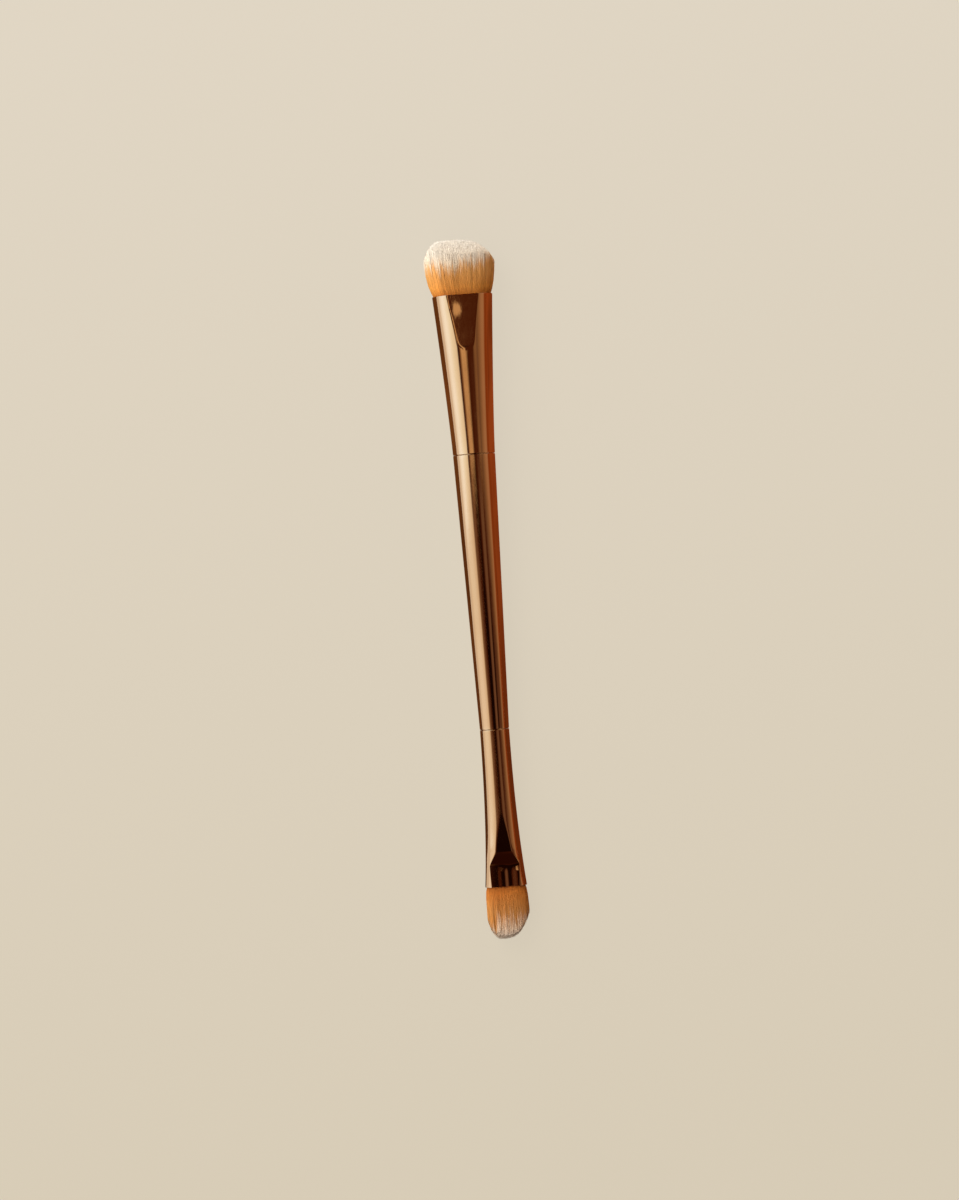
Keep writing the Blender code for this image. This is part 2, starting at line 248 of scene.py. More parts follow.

# Polished copper-coloured sheet
# The third colour lightens the rims: partly wear, partly a painted highlight along seams and lips
HANDLE_METAL = Metal((0.86, 0.62, 0.44), (0.81, 0.54, 0.36), (0.93, 0.75, 0.58))
FERRULE_METAL = Metal((0.87, 0.63, 0.45), (0.82, 0.55, 0.37), (0.94, 0.76, 0.60))
CLOUDS = Noise((90, 220, 220), 3, 0.5, (0.35, 0.7))
CLOUD_SHARES = (0, 0.55)
DRAWN_LINES = Noise((60, 5200, 5200), 4, 0.6, (0.52, 0.75))
LINE_SHARES = (0, 0.22)
LINE_DEPTH = 0.0000022
LINE_STRENGTH = 0.6
HAIRLINES = Noise((420, 9000, 9000), 2, 0.5, (0.45, 0.75))
HAIRLINE_ROUGHNESS = (0, 0.03)
SMUDGES = Noise((150, 190, 190), 5, 0.65, (0.35, 0.7))
SMUDGE_ROUGHNESS = (0.045, 0.085)
SHEET_RIPPLES = Noise((260, 420, 420), 2, 0.5, None)
SHEET_RIPPLE_DEPTH = 0.000010
SHEET_RIPPLE_STRENGTH = 0.5
TOOLING = Noise((1500, 1700, 1700), 3, 0.5, None)
TOOLING_DEPTH = 0.0000035
# Where the rims take the lighter colour: partly wear, partly a painted highlight
WEAR_AND_HIGHLIGHT_REACH = (0.3, 1)
WEAR_AND_HIGHLIGHT_SHARES = (0, 0.6)

# Bristles: colours of the amber root part and of the pale tip part, and where along a strand they lie
LARGE_HAIR = Hair(
    # Painted shade: the amber darkens towards the mouth, where the strands go into the ferrule
    roots=((0.58, 0.19, 0.030), (0.80, 0.34, 0.072), (0.85, 0.43, 0.140)),
    tips=((0.97, 0.80, 0.60), (0.99, 0.92, 0.82), (0.99, 0.96, 0.91)),
    fade_width=0.10,
)
SMALL_HAIR = Hair(
    # Painted shade: the amber darkens towards the mouth, where the strands go into the ferrule
    roots=((0.48, 0.14, 0.020), (0.70, 0.24, 0.042), (0.74, 0.32, 0.085)),
    tips=((0.86, 0.57, 0.37), (0.94, 0.69, 0.50), (0.99, 0.87, 0.75)),
    fade_width=0.09,
)
ROOT_PLACES = (0.0, 0.12, 0.45)
TIP_PLACES = (0.45, 0.75, 1.0)
ROOT_SHADES = (0.74, 1.16)
TIP_SHADES = (0.95, 1.03)
HAIR_GRAIN = Noise((900, 6000, 6000), 2, 0.5, (0.3, 0.7))
HAIR_SPECKLE = (-0.06, 0.06)
HAIR_ROUGHNESS = (0.42, 0.60)
HAIR_DEPTH = 0.000004
HAIR_STRENGTH = 0.3
HAIR_GLOSS = 0.15

# Plugs, glue and epoxy inside the brush
PLUG_PLASTIC = Cast(((0.045, 0.045, 0.05), (0.07, 0.07, 0.075)), (0.45, 0.65), 0.0002, 0)
JOINT_GLUE = Cast(((0.60, 0.52, 0.34), (0.68, 0.61, 0.44)), (0.22, 0.40), 0.0003, 0.1)
EPOXY = Cast(((0.42, 0.26, 0.11), (0.52, 0.35, 0.17)), (0.18, 0.35), 0.0004, 0.1)
CAST_REACH = (0.3, 0.7)
CAST_GRAIN_ROUGHNESS = 0.5
MOTTLE_BUBBLES = 3
MOTTLE_DETAIL = 4
PIT_DETAIL = 3
PIT_SHARE = 20
PIT_STRENGTH = 0.5

# Camera above the table, its image turned so that the brush leans as in the photograph
CAMERA_HEIGHT = 0.7437
CAMERA_X = -0.0024
CAMERA_Y = 0.0011902
CAMERA_TURN = math.radians(-94.27)
CAMERA_LENS = 100
CAMERA_SENSOR = 36
CAMERA_NEAR = 0.01

# Studio: colours seen round the brush, by angle, for reflections towards the small and the large end
STUDIO_STRENGTH = 1.6
BRIGHT = (0.66, 0.71, 0.69)
BRIGHT_INNER = (0.60, 0.61, 0.50)
BRIGHT_NEAR = (0.53, 0.49, 0.37)
BRIGHT_LOW = (0.50, 0.46, 0.39)
TAN = (0.375, 0.230, 0.103)
LINE = (0.012, 0.0022, 0.0006)
BLACK = (0.005, 0.0011, 0.0004)
DARK = (0.040, 0.0090, 0.0025)
UMBER = (0.062, 0.024, 0.011)
STREAK = (0.098, 0.047, 0.023)
BROWN = (0.140, 0.070, 0.028)
BROWN_LIGHT = (0.238, 0.120, 0.056)
RED_BROWN = (0.145, 0.0290, 0.004)
HANDLE_BRIGHT = (0.55, 0.51, 0.42)
HANDLE_NEAR = (0.48, 0.41, 0.30)
SMALL_BRIGHT = (0.53, 0.49, 0.39)
SMALL_NEAR = (0.45, 0.37, 0.26)
OUTER_BANDS = (
    (37, BRIGHT_NEAR),
    (53, BRIGHT_INNER),
    (68, BRIGHT),
    (76, BRIGHT),
    (96, BRIGHT_LOW),
    (180, BRIGHT_LOW),
)
HANDLE_OUTER = (
    (38, HANDLE_NEAR),
    (58, HANDLE_BRIGHT),
    (78, HANDLE_BRIGHT),
    (96, BRIGHT_LOW),
    (180, BRIGHT_LOW),
)
SMALL_OUTER = (
    (38, SMALL_NEAR),
    (58, SMALL_BRIGHT),
    (78, SMALL_BRIGHT),
    (96, SMALL_NEAR),
    (180, BRIGHT_LOW),
)
END_BANDS = (
    (-180, LINE),
    (180, LINE),
)
GLINT_BANDS = (
    (-180, DARK),
    (-100, BROWN),
    (-45, TAN),
    (-30, DARK),
    (5, LINE),
    (16, BROWN),
    (30, TAN),
    *OUTER_BANDS,
)
HANDLE_BANDS = (
    (-180, RED_BROWN),
    (-82, RED_BROWN),
    (-75, BROWN_LIGHT),
    (-68, BROWN),
    (-60, UMBER),
    (-47, UMBER),
    (-38, LINE),
    (-33, LINE),
    (-29, STREAK),
    (-21, STREAK),
    (-16, UMBER),
    (-12, BLACK),
    (5, BLACK),
    (11, DARK),
    (18, UMBER),
    (24, STREAK),
    (30.5, BROWN),
    *HANDLE_OUTER,
)
SMALL_CONE_BANDS = (
    (-180, RED_BROWN),
    (-82, RED_BROWN),
    (-75, BROWN_LIGHT),
    (-60, BROWN),
    (-48, DARK),
    (-35, DARK),
    (-29, STREAK),
    (-17, STREAK),
    (-11, DARK),
    (-5, LINE),
    (0, LINE),
    (6, DARK),
    (14, DARK),
    (20, UMBER),
    (24, STREAK),
    (30.5, BROWN),
    *SMALL_OUTER,
)
MIDDLE_BANDS = (
    (-180, RED_BROWN),
    (-82, RED_BROWN),
    (-75, BROWN_LIGHT),
    (-60, BROWN),
    (-47, STREAK),
    (-37, DARK),
    (-33, DARK),
    (-29, STREAK),
    (-18, STREAK),
    (-12, DARK),
    (-3, LINE),
    (8, BLACK),
    (14, DARK),
    (22, STREAK),
    (31, STREAK),
    *SMALL_OUTER,
)
LARGE_CONE_BANDS = (
    (-180, RED_BROWN),
    (-82, RED_BROWN),
    (-75, BROWN_LIGHT),
    (-66, BROWN_LIGHT),
    (-50, BROWN),
    (-44, STREAK),
    (-38, BROWN),
    (-33, BROWN),
    (-25, DARK),
    (-4, DARK),
    (5, TAN),
    (19, TAN),
    (24, BROWN),
    (28, DARK),
    (31, LINE),
    (33, DARK),
    *OUTER_BANDS,
)
TONGUE_BANDS = (
    (-180, RED_BROWN),
    (-92, RED_BROWN),
    (-84, BROWN_LIGHT),
    (-62, BROWN_LIGHT),
    (-46, BROWN),
    (-36, STREAK),
    (-26, DARK),
    (-5, DARK),
    (-1, DARK),
    (1.6, DARK),
    (2.6, TAN),
    (7, TAN),
    (8.5, DARK),
    (24, DARK),
    (32.5, STREAK),
    *OUTER_BANDS,
)
# Each zone of the studio with the angles along the brush between which it takes over from the last
STUDIO_ZONES = (
    (-44.0, -38.0, GLINT_BANDS),
    (-30.0, -24.0, HANDLE_BANDS),
    (-4.5, -3.9, SMALL_CONE_BANDS),
    (-3.7, -3.2, MIDDLE_BANDS),
    (-2.30, -1.75, LARGE_CONE_BANDS),
    (4.2, 6.0, TONGUE_BANDS),
    (22.0, 28.0, END_BANDS),
    (33.0, 39.0, GLINT_BANDS),
)
BACKDROP = (0.70, 0.64, 0.53)

# Soft lamps for the bristles and the table, each aimed at the middle of the brush
LAMPS = (
    Lamp("key_lamp", (0.60, 0.46, 0.66), 0.8, 8.2, (1.0, 0.95, 0.88)),
    Lamp("fill_lamp", (-0.30, 0.38, 0.84), 1.0, 4.0, (1.0, 0.95, 0.88)),
    Lamp("tip_lamp", (0.85, -0.24, 0.30), 0.5, 1.4, (1.0, 0.88, 0.74)),
)

# Low flags that only reflections show, one on each side of the brush. An edge is a row of places along
# the brush, each with its distance from the middle line, and the near edge serves both flags.
FLAG_HEIGHT = 0.00005
FLAG_PATCHES = Noise((40, 12, 1), 2, 0.5, (0.35, 0.65))
FLAG_SHADE = 0.6
FLAG_FADE = (-0.060, 0.025)
FLAG_FADE_STRENGTHS = (0.68, 1.32)
FLAG_END = 0.15
FLAG_NEAR_EDGE = (
    (-FLAG_END, 0.0056),
    (-0.075, 0.0056),
    (-0.045, 0.0050),
    (0.0, 0.0057),
    (0.035, 0.0064),
    (0.06, 0.0080),
    (FLAG_END, 0.0080),
)
LEFT_FLAG_EDGE = (
    (FLAG_END, 0.046),
    (0.03, 0.030),
    (-0.045, 0.022),
    (-0.054, 0.020),
    (-0.060, 0.0105),
    (-FLAG_END, 0.0105),
)
RIGHT_FLAG_EDGE = ((FLAG_END, 2.95), (-FLAG_END, 2.95))
LEFT_FLAG_COLOUR = (0.140, 0.052, 0.014)
RIGHT_FLAG_COLOUR = (0.23, 0.051, 0.011)

# Paper table: mottled, with a painted shade that darkens it a little towards negative X, and seen
# mostly by its own glow
TABLE_SIZE = 6.0
TABLE_COLOUR = (0.735, 0.665, 0.560)
TABLE_MOTTLE = 1.03
TABLE_GLOW = (0.737, 0.667, 0.552)
TABLE_GLOW_SHARE = 0.92
TABLE_FADE = (-0.13, 0.13)
TABLE_FAR_PAINTED_SHADE = (0.93, 0.915, 0.87)
PAPER_BLOTCHES = Noise((14, 14, 14), 4, 0.6, (0.35, 0.65))
PAPER_FIBRES = Noise((900, 900, 900), 3, 0.5, None)
FIBRE_DEPTH = 0.0001
FIBRE_STRENGTH = 0.1
PAPER_ROUGHNESS = 0.9
PAPER_GLOSS = 0.2


def smooth_minimum(value, limit, softness):
    """The lower of two heights, with the corner between them rounded."""
    lower = np.minimum(value, limit)
    return lower - softness * np.log1p(np.exp(-np.abs(value - limit) / softness))


def half_sizes(head, station):
    """Half width, half height of the rounded sides, and half the distance between the press plates."""
    if station <= 0:
        # The tube isn't pressed, so the plates are clear of it
        radius = head.seam_radius + head.taper * station
        return radius, radius, radius * 2
    flare = (station / head.length) ** head.flare_power
    half_width = head.seam_radius + (head.half_mouth - head.seam_radius) * flare
    press_start = head.length - head.press_length
    if station < press_start:
        rise = (station / press_start) ** head.flare_power
        crown = head.seam_radius + (head.half_crown - head.seam_radius) * rise
        near = max(1 - (press_start - station) / head.approach_length, 0)
        plate = head.half_crown - (head.half_crown - crown + head.approach_depth) * near
        return half_width, crown, plate
    pressed = station - press_start
    ramp = min(pressed / head.ramp_length, 1)
    start = head.half_crown - head.approach_depth
    stepped = head.step * (1 - math.exp(-pressed / head.step_reach))
    sink = (start - head.half_mouth_height - head.step) * ramp * (RAMP_EASE + (1 - RAMP_EASE) * ramp)
    plate = start - stepped - sink
    mouth_rounded = head.half_mouth_height / math.sqrt(1 - (head.half_flat / head.half_mouth) ** 2)
    rounded = head.half_crown + (mouth_rounded - head.half_crown) * pressed / head.press_length
    return half_width, rounded, plate


def soft_sizes(head, station):
    """The sizes averaged over a short reach, as sheet metal bends along a curve and not at a line."""
    if station <= head.bend_reach:
        return np.array(half_sizes(head, station))
    reach = min(head.bend_reach, head.length - station)
    shares = np.linspace(-1, 1, BEND_SAMPLES)
    near = [half_sizes(head, station + reach * share) for share in shares]
    return np.mean(near, axis=0)


def ripple_waves(station_to_mouth, across):
    """Waves of height one across a flat, gone towards the handle and on the flat's negative side."""
    waves = across / RIPPLE_WAVE
    along = np.clip((station_to_mouth / RIPPLE_LENGTH + 1) * RIPPLE_RISE, 0, 1)
    beside = np.clip(waves * RIPPLE_SIDE_SLOPE + RIPPLE_SIDE_SHARE, 0, 1)
    return along * beside * np.sin(waves * 2 * math.pi)


def oval_ring(head, station, inset, angles):
    """Points round the brush, moved inwards by the inset, and how far each lies in a pressed flat."""
    half_width, rounded, plate = soft_sizes(head, station) - inset
    height = rounded * np.abs(np.sin(angles))
    across = half_width * np.cos(angles)
    crowned = plate + head.bulge * (1 - np.minimum(np.abs(across) / head.half_flat, 1) ** 2)
    crowned -= head.ripple * ripple_waves(station - head.length, across)
    pressed = np.clip((height - crowned) / PRESS_DEPTH, 0, 1)
    height = smooth_minimum(height, crowned, CREASE_SOFTNESS) * np.sign(np.sin(angles))
    if head.dent:
        apart = np.hypot(head.length - station - head.dent.before_mouth, across - head.dent.across)
        hollow = head.dent.depth * np.exp(-((apart / head.dent.reach) ** 2) / 2)
        height -= hollow * (height > 0)
    return np.stack([np.full_like(angles, station), across, height, pressed], axis=1)


def rounded_corner(station, inset, direction, size):
    """Levels that turn a quarter circle from an end face onto the outside, or back for direction -1."""
    levels = []
    for turn in np.linspace(0, math.pi / 2, ROUNDING_RINGS):
        levels.append((station + size * (1 - math.cos(turn)), inset + size * (1 - math.sin(turn))))
    levels.append((station + size + RING_SUPPORT, inset))
    if direction > 0:
        return levels
    return [(2 * station - level, depth) for level, depth in reversed(levels)]


def ring_faces(lower, upper, sides):
    """Quads between two rings of points, numbered from lower and from upper."""
    here = np.arange(sides)
    after = (here + 1) % sides
    return np.stack([lower + here, lower + after, upper + after, upper + here], axis=1).tolist()


def shell_piece(name, head, levels, rims, material, place):
    """A closed metal shell through rings that are given as stations and insets, with rims marked for
    wear and a painted highlight.
    """
    angles = np.arange(SHELL_SIDES) * 2 * math.pi / SHELL_SIDES
    rings = np.concatenate([oval_ring(head, station, inset, angles) for station, inset in levels])
    points, pressed = rings[:, :3], rings[:, 3]
    faces = []
    for level in range(len(levels)):
        after = (level + 1) % len(levels)
        faces += ring_faces(level * SHELL_SIDES, after * SHELL_SIDES, SHELL_SIDES)
    near = [1 - np.minimum(np.abs(points[:, 0] - at) / RIM_REACH, 1) for at in rims]
    attributes = {"rim": np.max(near, axis=0), "pressed": pressed}
    return add_piece(name, points, faces, attributes, material, place)


def add_piece(name, points, faces, attributes, material, place):
    """A smooth mesh that rides with the brush, with a number or a direction for each point."""
    turn = np.array(place.to_3x3())
    points = points @ turn.T + np.array(place.translation)
    mesh = bpy.data.meshes.new(name)
    mesh.from_pydata(points.tolist(), [], faces)
    for key, values in attributes.items():
        if values.ndim == 1:
            layer = mesh.attributes.new(key, "FLOAT", "POINT")
            layer.data.foreach_set("value", values.astype(np.float32))
        else:
            layer = mesh.attributes.new(key, "FLOAT_VECTOR", "POINT")
            layer.data.foreach_set("vector", (values @ turn.T).astype(np.float32).ravel())
    mesh.shade_smooth()
    mesh.materials.append(material)
    piece = bpy.data.objects.new(name, mesh)
    bpy.context.scene.collection.objects.link(piece)
    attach(piece, "root")
    return piece


def make_ferrule(head, material, place):
    """A ferrule, rounded at its seam and at both edges of its lip."""
    press_start = head.length - head.press_length
    cone = np.linspace(SEAM_SLIT + SEAM_ROUNDING, press_start, CONE_RINGS, endpoint=False)[1:]
    pressed = np.linspace(press_start, head.length - LIP_ROUNDING, PRESSED_RINGS, endpoint=False)
    stations = np.concatenate([cone, pressed])
    seam_edge = rounded_corner(SEAM_SLIT, 0, 1, SEAM_ROUNDING)
    outer_lip = rounded_corner(head.length, 0, -1, LIP_ROUNDING)
    inner_lip = [(station, FERRULE_WALL - inset) for station, inset in reversed(outer_lip)]
    inside = [(station, FERRULE_WALL) for station in reversed(stations)]
    outside = [(station, 0) for station in stations]
    levels = seam_edge + outside + outer_lip + inner_lip + inside
    levels.append((SEAM_SLIT, FERRULE_WALL))
    name = f"{head.name}_ferrule"
    rims = (SEAM_SLIT, head.length)
    piece = shell_piece(f"{name}_shell", head, levels, rims, material, place)
    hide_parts(name)


def make_handle(material, place):
    """The tube, rounded at both ends."""
    far_end = rounded_corner(-TUBE_LENGTH, 0, 1, SEAM_ROUNDING)
    near_end = rounded_corner(0, 0, -1, SEAM_ROUNDING)
    stations = np.linspace(-TUBE_LENGTH + SEAM_ROUNDING, -SEAM_ROUNDING, TUBE_RINGS)[1:-1]
    outside = [(station, 0) for station in stations]
    inside = [(0, TUBE_WALL), (-TUBE_LENGTH, TUBE_WALL)]
    levels = far_end + outside + near_end + inside
    rims = (-TUBE_LENGTH, 0)
    piece = shell_piece("handle_shell", LARGE_HEAD, levels, rims, material, place)
    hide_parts("handle_tube")


def sunflower(count, hollow=0.0):
    """Evenly spread places in a round bundle of radius one, outside a hollow of the given radius."""
    number = np.arange(count)
    radius = np.sqrt(hollow**2 + (1 - hollow**2) * (number + 0.5) / count)
    angle = number * GOLDEN_ANGLE
    return np.stack([radius * np.cos(angle), radius * np.sin(angle)], axis=1)


def tip_heights(tuft, places):
    """Heights above the mouth to which strands at these places of the bundle are trimmed."""
    side = places[:, 0] - tuft.apex_share
    far = side > 0
    reach = np.where(far, 1 - tuft.apex_share, 1 + tuft.apex_share)
    drop = np.where(far, tuft.side_drops[1], tuft.side_drops[0])
    power = np.where(far, tuft.side_powers[1], tuft.side_powers[0])
    face_drop = tuft.face_drop * np.abs(places[:, 1]) ** tuft.face_power
    return tuft.height - drop * (np.abs(side) / reach) ** power - face_drop


def bundle_points(sizes, places):
    """Where places of the round bundle lie once it is pressed to an oval of these sizes."""
    half_width, rounded, plate = sizes
    radius = np.hypot(places[:, 0], places[:, 1])
    angle = np.arctan2(places[:, 1], places[:, 0])
    height = np.clip(rounded * np.sin(angle), -plate, plate)
    return half_width * np.cos(angle) * radius, height * radius


def bundle_sizes(head, tuft):
    """The bundle's sizes inside the mouth, and where it has fully opened."""
    inner = FERRULE_WALL + tuft.outer_radius
    root = np.array(half_sizes(head, head.length - BRISTLE_RECESS)) - inner
    return root, np.array([tuft.half_width, tuft.half_height, tuft.half_height])


def strand_points(head, tuft, root, belly, places, height):
    """Points of the bundle at heights above the mouth, where it opens out from the ferrule."""
    opened = 1 - np.exp(-np.maximum(height, 0) / tuft.flare_height)
    sizes = root[:, None] + (belly - root)[:, None] * opened
    across, through = bundle_points(sizes, places)
    return np.stack([head.length + height, across + tuft.lean * opened, through], axis=1)


def gather_clumps(tuft, chance):
    """Where strands draw together, and how each clump sways, changes colour and takes the dye."""
    jitter = CLUMP_JITTER / math.sqrt(tuft.clumps)
    centres = sunflower(tuft.clumps) + chance.normal(0, jitter, (tuft.clumps, 2))
    sway = chance.normal(0, tuft.sway, (tuft.clumps, 2))
    fade = chance.normal(0, tuft.fade_clump_spread, tuft.clumps)
    shade = chance.normal(0, CLUMP_SHADE_SPREAD, tuft.clumps)
    return Clumps(centres, sway, fade, shade)


def fade_heights(tuft, places):
    """How high the amber reaches, which isn't the same on both sides of a tuft."""
    side = np.clip((-places[:, 0] - FADE_RISE_FROM) / FADE_RISE_REACH, 0, 1)
    return tuft.fade_start + tuft.fade_rise * side


def strand_mesh(paths, radius):
    """Points and faces of thin strands that end in a point, and the number of points in each."""
    strands, levels, _ = paths.shape
    corners = np.arange(STRAND_SIDES) * 2 * math.pi / STRAND_SIDES
    turns = np.arange(strands)[:, None] * GOLDEN_ANGLE + corners
    around = np.stack([np.zeros_like(turns), np.cos(turns), np.sin(turns)], axis=2)
    rings = paths[:, :-1, None] + around[:, None] * radius
    per_strand = (levels - 1) * STRAND_SIDES + 1
    points = np.concatenate([rings.reshape(strands, -1, 3), paths[:, -1:]], axis=1)
    pattern = []
    for level in range(levels - 2):
        pattern += ring_faces(level * STRAND_SIDES, (level + 1) * STRAND_SIDES, STRAND_SIDES)
    last = (levels - 2) * STRAND_SIDES
    for side in range(STRAND_SIDES):
        pattern.append([last + side, last + (side + 1) % STRAND_SIDES, per_strand - 1])
    starts = range(0, strands * per_strand, per_strand)
    faces = [[start + corner for corner in face] for start in starts for face in pattern]
    return points.reshape(-1, 3), faces, per_strand


def make_strands(head, tuft, chance, clumps, places, radius, levels, drawn_length=None):
    """Strands drawn from inside the mouth, or over a length below their tips if the rest is hidden."""
    count = len(places)
    clump = np.argmin(((places[:, None] - clumps.centres[None]) ** 2).sum(axis=2), axis=1)
    spread = tuft.tip_scatter * (1 if drawn_length is None else INNER_SCATTER)
    scatter = np.minimum(chance.exponential(spread, count), spread * SCATTER_LIMIT)
    tips = tip_heights(tuft, places) - scatter
    begin = np.full(count, -BRISTLE_RECESS) if drawn_length is None else tips - drawn_length
    sway = chance.normal(0, tuft.sway, (count, 2))
    sway[chance.random(count) < STRAY_SHARE] *= STRAY_SWAY
    sway += clumps.sway[clump]
    root, belly = bundle_sizes(head, tuft)
    paths = np.zeros((count, len(levels), 3))
    grown = np.zeros((count, len(levels)))
    for level, share in enumerate(levels):
        height = begin + share * (tips - begin)
        grown[:, level] = (height + BRISTLE_RECESS) / (tips + BRISTLE_RECESS)
        pull = tuft.clump_pull * grown[:, level, None] ** PULL_POWER
        gathered = places + (clumps.centres[clump] - places) * pull
        paths[:, level] = strand_points(head, tuft, root, belly, gathered, height)
        paths[:, level, 1:] += sway * grown[:, level, None] ** SWAY_POWER
    points, faces, per_strand = strand_mesh(paths, radius)
    outward = tuft_outward(tuft, paths, grown)
    ringed = np.repeat(outward[:, :-1], STRAND_SIDES, axis=1)
    own_fade = chance.normal(0, tuft.fade_strand_spread, count)
    fade = fade_heights(tuft, places) + clumps.fade[clump] + own_fade
    shade = clumps.shade[clump] + chance.normal(0, STRAND_SHADE_SPREAD, count)
    shade = np.clip(SHADE_MIDDLE + shade * SHADE_SCALE, 0, 1)
    attributes = {
        "height": (points[:, 0] - head.length) / tuft.height,
        "fade": np.repeat(fade / tuft.height, per_strand),
        "shade": np.repeat(shade, per_strand),
        "outward": np.concatenate([ringed, outward[:, -1:]], axis=1).reshape(-1, 3),
    }
    return points, faces, attributes


def tuft_outward(tuft, points, shares):
    """The direction out of the whole tuft at points that lie at these shares of their strands.

    The pale tips let light through, so those of the lower half face up as the upper ones do.
    """
    facing = np.zeros_like(points)
    facing[..., 0] = tuft.tip_facing * shares**TIP_FACING_POWER
    facing[..., 1] = points[..., 1] / tuft.half_width**2 * tuft.half_height
    through = shares**TIP_CLEAR_POWER
    rise = points[..., 2] / tuft.half_height
    facing[..., 2] = rise + (np.maximum(np.abs(rise), TIP_CLEAR_RISE) - rise) * through
    return facing / np.linalg.norm(facing, axis=-1, keepdims=True)


def tuft_core(head, tuft, chance):
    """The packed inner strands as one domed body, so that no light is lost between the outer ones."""
    angles = np.arange(CORE_SIDES) * 2 * math.pi / CORE_SIDES
    unit = np.stack([np.cos(angles), np.sin(angles)], axis=1)
    rings = [(CORE_SHARE, share) for share in np.linspace(0, 1, CORE_RINGS)]
    rings += [(CORE_SHARE * (1 - turn**2), 1) for turn in np.linspace(0, 1, CORE_RINGS)[1:]]
    root, belly = bundle_sizes(head, tuft)
    points = np.zeros((len(rings), CORE_SIDES, 3))
    for number, (radius, share) in enumerate(rings):
        places = unit * max(radius, CORE_SHARE / CORE_SIDES)
        top = tip_heights(tuft, places) - CORE_DEPTH
        height = -BRISTLE_RECESS + share * (top + BRISTLE_RECESS)
        points[number] = strand_points(head, tuft, root, belly, places, height)
    faces = []
    for number in range(len(rings) - 1):
        faces += ring_faces(number * CORE_SIDES, (number + 1) * CORE_SIDES, CORE_SIDES)
    first = list(range(CORE_SIDES))
    last = [(len(rings) - 1) * CORE_SIDES + corner for corner in first]
    faces += [first[::-1], last]
    fade = fade_heights(tuft, unit) + chance.normal(0, tuft.fade_strand_spread, CORE_SIDES)
    # Painted light: the core is shaded lighter than the strands around it
    shade = np.clip(chance.normal(CORE_PAINTED_LIGHT_SHADE, CORE_SHADE_SPREAD, CORE_SIDES), 0, 1)
    shares = np.array([share for _, share in rings])[:, None]
    attributes = {
        "height": (points[:, :, 0].ravel() - head.length) / tuft.height,
        "fade": np.tile(fade / tuft.height, len(rings)),
        "shade": np.tile(shade, len(rings)),
        "outward": tuft_outward(tuft, points, shares).reshape(-1, 3),
    }
    return points.reshape(-1, 3), faces, attributes


def make_tuft(head, tuft, material, place):
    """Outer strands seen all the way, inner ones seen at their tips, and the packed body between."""
    chance = np.random.default_rng(tuft.seed)
    clumps = gather_clumps(tuft, chance)
    apart = math.sqrt((1 - CORE_SHARE**2) / tuft.outer_strands)
    outer = sunflower(tuft.outer_strands, CORE_SHARE)
    outer += chance.normal(0, PLACE_JITTER * apart, outer.shape)
    outer /= np.maximum(np.hypot(outer[:, 0], outer[:, 1]), 1)[:, None]
    inner = sunflower(tuft.inner_strands) * CORE_SHARE
    inner += chance.normal(0, PLACE_JITTER / math.sqrt(tuft.inner_strands), inner.shape)
    inner_length = CORE_DEPTH + INNER_START
    parts = [
        make_strands(head, tuft, chance, clumps, outer, tuft.outer_radius, OUTER_LEVELS),
        make_strands(head, tuft, chance, clumps, inner, tuft.inner_radius, INNER_LEVELS, inner_length),
        tuft_core(head, tuft, chance),
    ]
    points = np.concatenate([part[0] for part in parts])
    attributes = {key: np.concatenate([part[2][key] for part in parts]) for key in parts[0][2]}
    faces = []
    before = 0
    for part_points, part_faces, _ in parts:
        faces += [[before + corner for corner in face] for face in part_faces]
        before += len(part_points)
    name = f"{head.name}_bristles"
    piece = add_piece(name, points, faces, attributes, material, place)
    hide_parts(f"{head.name}_bristle_tuft")


def add_node(tree, kind, inputs=None, **settings):
    """A shader node with its settings, and each input set to a number or linked to an output."""
    made = tree.nodes.new("ShaderNode" + kind)
    for key, value in settings.items():
        setattr(made, key, value)
    for key, value in (inputs or {}).items():
        if isinstance(value, bpy.types.NodeSocket):
            tree.links.new(value, made.inputs[key])
        else:
            made.inputs[key].default_value = value
    return made


def add_ramp(tree, factor, stops):
    """A colour that runs through stops, given as place and colour."""
    ramp = add_node(tree, "ValToRGB", {"Fac": factor})
    elements = ramp.color_ramp.elements
    while len(elements) > 1:
        elements.remove(elements[-1])
    for number, (at, colour) in enumerate(stops):
        element = elements[0] if number == 0 else elements.new(at)
        element.position = at
        element.color = (*colour, 1)
    return ramp.outputs["Color"]


def add_noise(tree, noise):
    """A noise whose grains are fixed to the object that the material is on."""
    where = add_node(tree, "TexCoord").outputs["Object"]
    stretched = add_node(tree, "Mapping", {"Vector": where, "Scale": noise.grains}).outputs["Vector"]
    inputs = {"Vector": stretched, "Scale": 1, "Detail": noise.detail, "Roughness": noise.roughness}
    return add_node(tree, "TexNoise", inputs).outputs[0]


def read_attribute(tree, name, output="Fac"):
    """What the mesh holds for each point under this name."""
    return add_node(tree, "Attribute", attribute_name=name).outputs[output]


def place_along(tree):
    """The X coordinate on the table."""
    where = add_node(tree, "TexCoord").outputs["Object"]
    return add_node(tree, "SeparateXYZ", {0: where}).outputs["X"]


def add_range(tree, value, from_range, to_range, smooth=False):
    """A value carried from one range to another and held at its ends."""
    inputs = {
        "Value": value,
        "From Min": from_range[0],
        "From Max": from_range[1],
        "To Min": to_range[0],
        "To Max": to_range[1],
    }
    kind = "SMOOTHSTEP" if smooth else "LINEAR"
    return add_node(tree, "MapRange", inputs, interpolation_type=kind).outputs["Result"]


